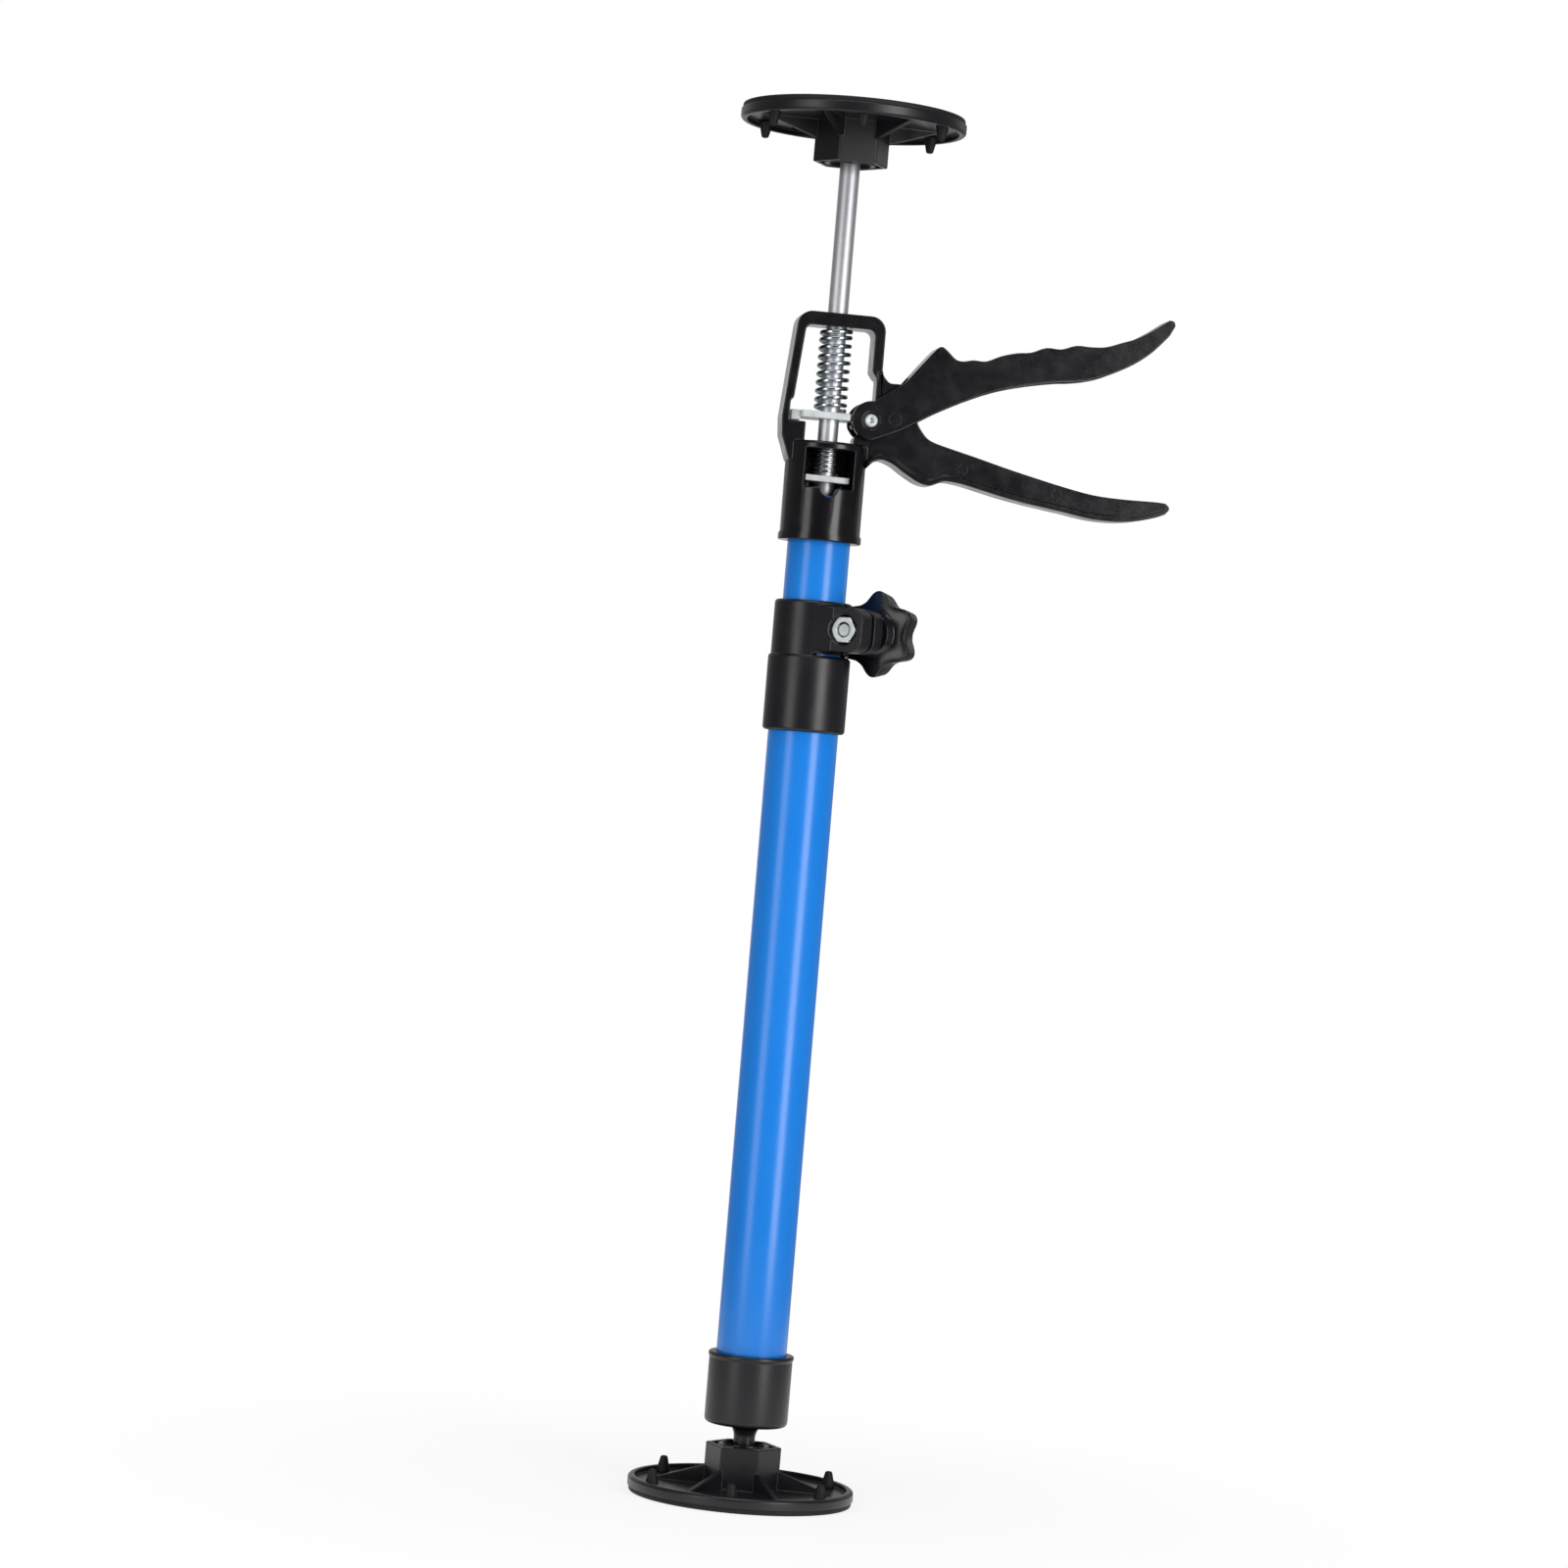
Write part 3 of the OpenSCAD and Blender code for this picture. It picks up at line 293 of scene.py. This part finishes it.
def finishMaterial(name, low, high, metallic, roughness, spread, grain, bump, blotch,
                   specular=0.5, stretch=(1, 1, 1)):
    # one noise, as wide as the blotches, drives the colour and the roughness; a finer one,
    # drawn out by stretch, is the relief
    material, tree = newMaterial(name)
    place = addNode(tree, "ShaderNodeTexCoord")
    scaled = addNode(tree, "ShaderNodeMapping", {"Vector": (place, "Object")},
                     in_Scale=tuple(np.array(stretch) / mm))
    drift = addNode(tree, "ShaderNodeTexNoise", {"Vector": (scaled, "Vector")},
                    in_Scale=1 / blotch, in_Detail=4.0, in_Roughness=0.6)
    tint = addNode(tree, "ShaderNodeMix", {0: (drift, "Fac")}, data_type="RGBA",
                   in_6=toLinear(low), in_7=toLinear(high))
    rough = addNode(tree, "ShaderNodeMapRange", {"Value": (drift, "Fac")},
                    in_From_Min=0.3, in_From_Max=0.7, in_To_Min=roughness - spread,
                    in_To_Max=roughness + spread)
    fine = addNode(tree, "ShaderNodeTexNoise", {"Vector": (scaled, "Vector")},
                   in_Scale=1 / grain, in_Detail=2.0)
    relief = addNode(tree, "ShaderNodeBump", {"Height": (fine, "Fac")},
                     in_Strength=0.6, in_Distance=bump * mm)
    shader = addNode(tree, "ShaderNodeBsdfPrincipled",
                     {"Base Color": (tint, 2), "Roughness": (rough, "Result"),
                      "Normal": (relief, "Normal")}, in_Metallic=metallic,
                     in_Specular_IOR_Level=specular)
    addNode(tree, "ShaderNodeOutputMaterial", {"Surface": (shader, "BSDF")})
    return material


materials = {key: finishMaterial(**finish) for key, finish in finishes.items()}
slotOf = {row["node"]: row["material_slot"] for row in frame["record"]["subparts"]}


def dress(obj, node, body, finish=None):
    # gives a piece its finish, lets it ride on its body and stand for its CAD node
    slotName = slotOf[node]
    obj.data.materials.clear()
    obj.data.materials.append(materials[finish or slotName])
    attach(obj, body)
    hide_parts(node)
    return obj


for nodeName, nodeObject in frame["nodes"].items():
    nodeObject.data.materials.clear()
    nodeObject.data.materials.append(materials[slotOf[nodeName]])
print("materials made")


# round pads

pad = {"faceRadius": 44.1, "sheetRadius": 44.4, "sheetBack": 1.98, "plateTop": 4.2,
       "plugCircle": 38.5, "plugs": 6, "plugNeck": 1.9, "barb": 2.7, "barbTop": 2.55,
       "plugEnd": 1.45, "plugTip": 0.9, "plugRise": 6.6, "footTurn": 46.8, "headTurn": 2.8,
       "edge": 0.45}


def gripSheet(name, z, turnDeg, flip):
    # a thin rubber disc and its barbed plugs, each a turned taper that starts in the disc,
    # passes the plate and widens to its barb above it
    rim, back = pad["sheetRadius"], pad["sheetBack"]
    parts = [turned(name + "Disc", rounded([[0, 0], [pad["faceRadius"], 0], [rim, 0.5],
                                            [rim, back], [0, back]],
                                           [0, 0.5, 0.5, 0.2, 0]), 144)]
    top = pad["plateTop"]
    tip = top + pad["plugRise"]
    plug = rounded([[0, 1], [pad["plugNeck"], 1], [pad["plugNeck"], top + 0.1],
                    [pad["barb"], top + 0.1], [pad["barbTop"], top + 1.4],
                    [pad["plugEnd"], tip - 0.4], [pad["plugTip"], tip], [0, tip]],
                   [0, 0, 0, 0.4, 0.6, 0.6, 0.4, 0], 4)
    for k in range(pad["plugs"]):
        a = math.radians((k + 0.5) * 360 / pad["plugs"])
        parts.append(turned(f"{name}Plug{k}", plug, 28,
                            (pad["plugCircle"] * math.cos(a), pad["plugCircle"] * math.sin(a), 0)))
    obj = joined(name, parts)
    matrix = Matrix.Rotation(math.radians(turnDeg), 4, "Z")
    if flip:
        matrix = Matrix.Translation((0, 0, z * mm)) @ Matrix.Rotation(math.pi, 4, "X") @ matrix
    obj.data.transform(matrix)
    return obj


padTop = boxOf("head_grip_pad")[1][2]
dress(gripSheet("footGrip", 0, pad["footTurn"], False), "foot_grip_pad", "foot")
dress(gripSheet("headGrip", padTop, pad["headTurn"], True), "head_grip_pad", "head")
dress(softened("foot_pad", "footPlate", pad["edge"]), "foot_pad", "foot")
dress(softened("head_pad", "headPlate", pad["edge"]), "head_pad", "head")
print("pads made")


# ball stud, cap and tubes

stud = {"ball": 7, "ballZ": 13, "ballTop": 5.4, "waist": 4.3, "waistLow": 18.5,
        "waistMiddle": 23, "waistHigh": 24.7, "stem": 4.8, "flare": 5.3, "shoulder": 6.6,
        "neck": 5, "shoulderTop": 28.9, "top": 33.35}
cap = {"low": 29.2, "height": 28.3, "radius": 16.6, "bead": 17.0, "bore": 14.05, "floor": 4,
       "hole": 5.1}
outerTube = {"low": 33.2, "high": 332.2, "radius": 14, "bore": 12.8}
innerTube = {"low": 88.2, "high": 398.88, "radius": 12.5, "bore": 11.5}
rimBreak = 0.25
tubeSteps = 224


def studLine():
    # the ball is an arc, radius cos a and centre + radius sin a, from its lowest point to
    # where the waist starts; above it are the stem, the shoulder and the neck in the cap
    a = np.linspace(-math.pi / 2, math.asin(stud["ballTop"] / stud["ball"]), 24)
    ball = np.stack([stud["ball"] * np.cos(a), stud["ballZ"] + stud["ball"] * np.sin(a)], 1)
    ball[0, 0] = 0
    waist, high, top = stud["waist"], stud["shoulderTop"], stud["top"]
    stem = rounded([[waist, stud["waistLow"]], [waist, stud["waistMiddle"]],
                    [waist, stud["waistHigh"]], [stud["stem"], high - 2.5],
                    [stud["flare"], high - 1.4], [stud["shoulder"], high - 0.7],
                    [stud["shoulder"], high], [stud["neck"], high], [stud["neck"], top],
                    [0, top]], [0, 1, 1, 1, 0.8, 0.4, 0.2, 0, 0, 0], 4, closed=False)
    return np.concatenate([ball, stem])


def capLine():
    # a cup with a hole in its floor, a large round below and a bead round its mouth
    low, top, floor = cap["low"], cap["low"] + cap["height"], cap["low"] + cap["floor"]
    return rounded([[cap["hole"], low], [cap["radius"], low], [cap["radius"], top - 2.1],
                    [cap["bead"], top - 1.5], [cap["bead"], top - 0.4], [cap["radius"], top],
                    [cap["bore"], top], [cap["bore"], floor], [cap["hole"], floor]],
                   [0.3, 2.2, 0.5, 0.4, 0.4, 0.4, 0.3, 0, 0.3], 6)


def wallLine(ring, steps=3):
    # the wall of a cut tube or washer with its rims broken
    return rounded([[ring["bore"], ring["low"]], [ring["radius"], ring["low"]],
                    [ring["radius"], ring["high"]], [ring["bore"], ring["high"]]],
                   rimBreak, steps)


dress(turned("footStud", studLine(), 96), "foot_ball_stud", "foot_ball")
dress(turned("footCap", capLine()), "foot_cap", "pole_lower")
dress(turned("outerTube", wallLine(outerTube), tubeSteps), "outer_tube", "pole_lower")
dress(turned("innerTube", wallLine(innerTube), tubeSteps), "inner_tube", "pole_upper")
print("tubes made")


# clamp collar and knob

# the bolt lies level, with its middle line offset out from the pole's axis, in the direction
# that is angle degrees from +X towards the front
clamp = {"angle": 40.5, "offset": 20, "height": 346.5, "edge": 0.5, "nutEdge": 0.2}
bolt = {"radius": 3, "pitch": 1, "depth": 0.5, "low": -7.9, "high": 20.6}
washer = {"bore": 3.3, "radius": 6, "low": 7.35, "high": 8.55}
# hub and boss are (radius, place along the bolt), the boss from the face outwards
knob = {"radius": 17.3, "valley": 0.79, "power": 1.3, "lobes": 6, "steps": 288, "seat": 15.7,
        "thick": 9, "innerEdge": 0.6, "outerEdge": 1.3, "faceShare": 0.93,
        "hub": [(0, 8.7), (6.4, 8.7), (6.5, 8.9), (6.5, 11.4), (8.2, 11.5), (8.4, 11.7),
                (8.9, 15.2), (9.4, 15.7)],
        "boss": [(7.0, 0), (6.8, 0.15), (6.5, 0.9), (6.1, 1.15), (0, 1.2)]}


def onBolt(points):
    # x, y and z of the points become out from the pole, down and along the bolt
    a = math.radians(clamp["angle"])
    out = np.array([math.cos(a), -math.sin(a), 0])
    along = np.array([math.sin(a), math.cos(a), 0])
    down = np.array([0, 0, -1.0])
    place = points[:, :1] * out + points[:, 1:2] * down + points[:, 2:3] * along
    return place + np.array([0, 0, clamp["height"]])


def turnedOnBolt(name, profile, steps=64):
    # a closed profile of (radius, place along the bolt) turned about the bolt
    pts = ringPoints(profile, steps)[:, [1, 0, 2]] + np.array([clamp["offset"], 0, 0])
    return makeSurface(name, onBolt(pts), gridFaces(len(profile), steps, True))


def starKnob():
    # the outline is the radius times a swell: valley + (1 - valley) times
    # (1 + cos(lobes times a)) / 2, which is raised to power; along the bolt come the hub, the
    # star that narrows towards its face with rounded rims, and the boss
    steps = knob["steps"]
    a = np.arange(steps) * 2 * math.pi / steps
    swell = knob["valley"] + (1 - knob["valley"]) * ((1 + np.cos(a * knob["lobes"])) / 2) \
        ** knob["power"]
    inner, outer, share = knob["innerEdge"], knob["outerEdge"], knob["faceShare"]
    low, high = knob["seat"], knob["seat"] + knob["thick"]
    t = np.linspace(0, math.pi / 2, 7)
    # each row: a share of the outline, a distance drawn in from it, and the place along the
    # bolt; where the share is 0, the ring is plain and the distance is its radius
    rows = [(0, r, z) for r, z in knob["hub"]]
    rows += [(1, inner * (1 - math.sin(k)), low + inner * (1 - math.cos(k))) for k in t]
    rows += [(1, 0, low + 1.2), ((1 + share) / 2, 0, (low + high) / 2 + 0.3)]
    rows += [(share, outer * (1 - math.cos(k)), high - outer * (1 - math.sin(k))) for k in t]
    rows += [(0, r, high + rise) for r, rise in knob["boss"]]
    part, size, z = np.array(rows, float).T[:, :, None]
    r = np.where(part > 0, knob["radius"] * part * swell - size, size)
    grid = np.stack([clamp["offset"] + r * np.sin(a), r * np.cos(a),
                     np.broadcast_to(z, r.shape)], 2).reshape(-1, 3)
    return makeSurface("starKnob", onBolt(grid), gridFaces(len(rows), steps), 50)


def threadLine():
    # half a bolt: a chamfered end, then a valley and a ridge for every pitch
    r, low, high = bolt["radius"], bolt["low"], bolt["high"]
    z = np.arange(low + 1.2, high - 1, bolt["pitch"] / 2)
    ridges = np.where(np.arange(len(z)) % 2, r - 0.02, r - bolt["depth"])
    return [[0, low], [2.2, low], [2.5, low + 0.3]] + np.stack([ridges, z], 1).tolist() \
        + [[r - 0.1, high], [0, high]]


dress(starKnob(), "clamp_knob", "knob", "jackNylon")
dress(softened("clamp_collar", "clampCollar", clamp["edge"]), "clamp_collar", "pole_lower")
dress(softened("clamp_nut", "clampNut", clamp["nutEdge"]), "clamp_nut", "pole_lower")
dress(turnedOnBolt("clampWasher", wallLine(washer, 5)), "clamp_washer", "pole_lower")
dress(turnedOnBolt("clampStud", threadLine()), "clamp_stud", "knob")
print("clamp made")


# jack frame and trigger

leverEdge = 0.6
rivet = {"x": 15.9, "z": 430.5, "radius": 1.75, "head": 2.6, "end": 8}
# round marks that the mould's ejector pins leave: x, y of the lever's face, z, radius, body
pinMarks = [(54.4, -4.7, 414.8, 2.0, "pole_upper"), (93.1, -4.7, 408.2, 2.0, "pole_upper"),
            (25.1, -8.0, 431.8, 2.5, "squeeze_lever")]
pinRidge = {"foot": 0.35, "crest": 0.25, "sunk": -0.1, "proud": 0.2, "round": 0.12}
across = Matrix.Rotation(math.radians(90), 4, "X")


def rivetLine():
    # a domed head with a small hollow in its end, and its mirror image about the middle
    end, head = rivet["end"], rivet["head"]
    half = rounded([[0, end - 2.2], [0.8, end - 2], [1.05, end - 0.3], [1.6, end],
                    [head - 0.5, end - 0.15], [head, end - 0.65], [head, end - 0.8],
                    [rivet["radius"], end - 0.8]],
                   [0, 0.2, 0.3, 0.5, 0.4, 0.1, 0.1, 0], 4, closed=False)
    return np.concatenate([half, half[::-1] * [1, -1]])


def pinLine(radius):
    # a low ridge round the mark, with its foot sunk in the face
    foot, crest = pinRidge["foot"], pinRidge["crest"]
    return rounded([[radius - foot, pinRidge["sunk"]], [radius + foot, pinRidge["sunk"]],
                    [radius + crest, pinRidge["proud"]], [radius - crest, pinRidge["proud"]]],
                   pinRidge["round"], 3)


dress(turned("triggerRivet", rivetLine(), 64, (rivet["x"], 0, rivet["z"]), across),
      "trigger_rivet", "pole_upper")
dress(softened("gun_frame", "jackFrame", leverEdge), "gun_frame", "pole_upper", "jackNylon")
dress(softened("trigger", "squeezeTrigger", leverEdge), "trigger", "squeeze_lever",
      "jackNylon")
for k, (x, face, z, radius, body) in enumerate(pinMarks):
    mark = turned(f"pinMark{k}", pinLine(radius), 64, (x, face, z), across)
    mark.data.materials.append(materials["jackNylon"])
    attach(mark, body)
print("levers made")


# rod, springs and plates

rod = {"radius": 4, "low": 298.1, "chamfer": 0.6, "clip": 303.1, "clipWidth": 1.24,
       "groove": 3.2, "top": 535.5, "spigot": 3, "peenLow": 543.1, "peen": 4.2,
       "peenTop": 2.5, "round": 0.12}
# fixedEnd is the height of the end that stays where it is, and keep the share of the length
# that is left at the joint's limit
springs = {
    "mainSpring": {"node": "main_spring", "radius": 5.8, "wire": 1.8, "turns": 10,
                   "joint": "drive_lift", "fixedEnd": 466.4, "keep": 0.922},
    "brakeSpring": {"node": "brake_spring", "radius": 4.9, "wire": 1.0, "turns": 5,
                    "joint": "brake_release", "fixedEnd": 417.3, "keep": 0.92},
}
plates = {"driveEdge": 0.35, "brakeEdge": 0.3}


def rodLine():
    # a chamfered end, the groove of the clip, the bar, its spigot in the ball and the peened
    # end above it
    r, low, high, peen = rod["radius"], rod["low"], rod["top"], rod["peenLow"]
    clipLow, clipHigh = rod["clip"], rod["clip"] + rod["clipWidth"]
    return rounded([[0, low], [r - rod["chamfer"], low], [r, low + rod["chamfer"]],
                    [r, clipLow], [rod["groove"], clipLow], [rod["groove"], clipHigh],
                    [r, clipHigh], [r, high], [rod["spigot"], high], [rod["spigot"], peen],
                    [rod["peen"], peen], [rod["peen"], peen + 0.6],
                    [rod["peenTop"], peen + 1.3], [0, peen + 1.3]], rod["round"], 2)


def coil(name, radius, wire, low, high, turns, perTurn=40, around=14):
    # the wire's middle line is a helix: radius cos a, radius sin a, and a height that rises
    # slowly over the two end turns and is smoothed; each ring of the wire's points lies in
    # the upright plane through the spring's axis
    steps = int(turns * perTurn) + 1
    smooth = 9
    u = np.linspace(0, turns, steps)
    endRise = wire + 0.5
    rise = (high - low - wire - 2 * endRise) / (turns - 2)
    z = np.where(u < 1, endRise * u,
                 np.where(u > turns - 1,
                          endRise + rise * (turns - 2) + endRise * (u - turns + 1),
                          endRise + rise * (u - 1)))
    z = np.convolve(np.pad(z, smooth // 2, mode="edge"), np.ones(smooth) / smooth, "valid")
    z = z + low + wire / 2
    a = u * 2 * math.pi
    b = np.arange(around) * 2 * math.pi / around
    r = radius + wire / 2 * np.cos(b)[None, :]
    pts = np.stack([r * np.cos(a)[:, None], r * np.sin(a)[:, None],
                    z[:, None] + wire / 2 * np.sin(b)[None, :]], 2).reshape(-1, 3)
    ends = [list(range(around)), list(range((steps - 1) * around, steps * around))]
    return makeSurface(name, pts, gridFaces(steps, around) + ends, 60)


dress(turned("pushRod", rodLine(), 128), "push_rod", "rod")
for name, spring in springs.items():
    low, high = boxOf(spring["node"])
    piece = coil(name, spring["radius"], spring["wire"], low[2], high[2], spring["turns"])
    dress(piece, spring["node"], "pole_upper")
    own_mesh(piece)
dress(softened("drive_plate", "drivePlate", plates["driveEdge"]), "drive_plate", "drive")
dress(softened("brake_plate", "brakePlate", plates["brakeEdge"]), "brake_plate", "brake")
print("springs and plates made")


# camera, floor and light

view = {"aim": (-5.79, 0.81, 284), "distance": 1850, "height": 283, "azimuth": -8,
        "roll": 4.76, "lens": 106.8, "sensor": 36, "clipStart": 10}
# half is half the paper's width, beyond which the studio itself is the white ground; the
# share of plain white in the paper's look is shareNear up to fadeFrom and 1 from fadeTo on
paper = {"half": 330, "z": -0.05, "white": 0.95, "shareNear": 0.8, "fadeFrom": 60,
         "fadeTo": 300}
# brightness of the studio that gloss and metal see, from the camera's side to far behind
studioLevels = [(0.0, 0.06), (0.3, 0.08), (0.6, 0.14), (0.96, 0.25), (1.0, 1.0)]
ambientLevel = 0.4
lampCentre = (0, 0, 290)
# each softbox: bearing from the camera's line and height in degrees, distance, width,
# height, and power in watts
softboxes = {"leftStrip": (-43, 2, 1400, 520, 1700, 7.5),
             "rightStrip": (41, 2, 1400, 520, 1700, 15.5),
             "overhead": (-10, 72, 1500, 900, 900, 7.0),
             "backLeft": (-140, 25, 1600, 500, 1200, 0.6),
             "backRight": (140, 25, 1600, 500, 1200, 0.6)}


def makeCamera():
    # stands at the distance from the aim point, looks at it and is rolled about its view line
    a = math.radians(view["azimuth"])
    aim = Vector(view["aim"]) * mm
    eye = aim - Vector((-math.sin(a), math.cos(a), 0)) * view["distance"] * mm
    eye.z = view["height"] * mm
    data = bpy.data.cameras.new("photoCamera")
    data.lens = view["lens"]
    data.sensor_width = view["sensor"]
    data.clip_start = view["clipStart"] * mm
    camera = newObject("photoCamera", data)
    look = (aim - eye).to_track_quat("-Z", "Y").to_matrix().to_4x4()
    camera.matrix_world = Matrix.Translation(eye) @ look \
        @ Matrix.Rotation(math.radians(view["roll"]), 4, "Z")
    bpy.context.scene.camera = camera


def makeFloor():
    # white paper that keeps part of the object's shadow nearby; gloss and metal see it white
    material, tree = newMaterial("paperFloor")
    lit = addNode(tree, "ShaderNodeBsdfDiffuse", in_Color=grey(paper["white"]))
    white = addNode(tree, "ShaderNodeEmission", in_Color=grey(1), in_Strength=1.0)
    path = addNode(tree, "ShaderNodeLightPath")
    seen = addNode(tree, "ShaderNodeMath", {0: (path, "Is Camera Ray"),
                                            1: (path, "Is Glossy Ray")}, operation="MAXIMUM")
    either = addNode(tree, "ShaderNodeMath", {0: (seen, "Value"),
                                              1: (path, "Is Transmission Ray")},
                     operation="MAXIMUM")
    place = addNode(tree, "ShaderNodeTexCoord")
    reach = addNode(tree, "ShaderNodeVectorMath", {0: (place, "Object")}, operation="LENGTH")
    fade = addNode(tree, "ShaderNodeMapRange", {"Value": (reach, "Value")},
                   in_From_Min=paper["fadeFrom"] * mm, in_From_Max=paper["fadeTo"] * mm,
                   in_To_Min=paper["shareNear"], in_To_Max=1.0)
    share = addNode(tree, "ShaderNodeMath", {0: (either, "Value"), 1: (fade, "Result")},
                    operation="MULTIPLY")
    mixed = addNode(tree, "ShaderNodeMixShader", {0: (share, "Value"), 1: (lit, "BSDF"),
                                                  2: (white, "Emission")})
    addNode(tree, "ShaderNodeOutputMaterial", {"Surface": (mixed, "Shader")})
    half, z = paper["half"], paper["z"]
    floor = makeObject("paperFloor", [[-half, -half, z], [half, -half, z], [half, half, z],
                                      [-half, half, z]], [[0, 1, 2, 3]])
    floor.data.materials.append(material)


def makeWorld():
    # white to the camera; gloss and metal see a studio that is white straight behind the
    # object and dim where the camera stands; all other light is even
    world = bpy.data.worlds.new("studio")
    bpy.context.scene.world = world
    world.use_nodes = True
    tree = world.node_tree
    tree.nodes.clear()
    place = addNode(tree, "ShaderNodeTexCoord")
    parts = addNode(tree, "ShaderNodeSeparateXYZ", {0: (place, "Generated")})
    depth = addNode(tree, "ShaderNodeMapRange", {"Value": (parts, "Y")},
                    in_From_Min=-1.0, in_From_Max=1.0)
    ramp = addNode(tree, "ShaderNodeValToRGB", {"Fac": (depth, "Result")})
    for at, level in studioLevels[1:-1]:
        ramp.color_ramp.elements.new(at)
    for element, (at, level) in zip(ramp.color_ramp.elements, studioLevels):
        element.position = at
        element.color = grey(level)
    path = addNode(tree, "ShaderNodeLightPath")
    mirrored = addNode(tree, "ShaderNodeMath", {0: (path, "Is Glossy Ray"),
                                                1: (path, "Is Transmission Ray")},
                       operation="MAXIMUM")
    ambient = addNode(tree, "ShaderNodeMix", {0: (mirrored, "Value"), 7: (ramp, "Color")},
                      data_type="RGBA", in_6=grey(ambientLevel))
    shown = addNode(tree, "ShaderNodeMix", {0: (path, "Is Camera Ray"), 6: (ambient, 2)},
                    data_type="RGBA", in_7=grey(1))
    back = addNode(tree, "ShaderNodeBackground", {"Color": (shown, 2)}, in_Strength=1.0)
    addNode(tree, "ShaderNodeOutputWorld", {"Surface": (back, "Background")})


def makeLights():
    # every softbox stands off from the middle of the pole and faces it
    middle = Vector(lampCentre) * mm
    for name, (bearing, rise, far, wide, tall, power) in softboxes.items():
        a = math.radians(bearing + view["azimuth"] - 90)
        e = math.radians(rise)
        off = Vector((math.cos(a) * math.cos(e), math.sin(a) * math.cos(e), math.sin(e)))
        data = bpy.data.lights.new(name, "AREA")
        data.shape = "RECTANGLE"
        data.size, data.size_y = wide * mm, tall * mm
        data.energy = power
        lamp = newObject(name, data)
        lamp.location = middle + off * far * mm
        lamp.rotation_euler = off.to_track_quat("Z", "Y").to_euler()


makeCamera()
makeFloor()
makeWorld()
makeLights()
bpy.context.scene.view_settings.view_transform = "Standard"
print("camera, floor and light made")
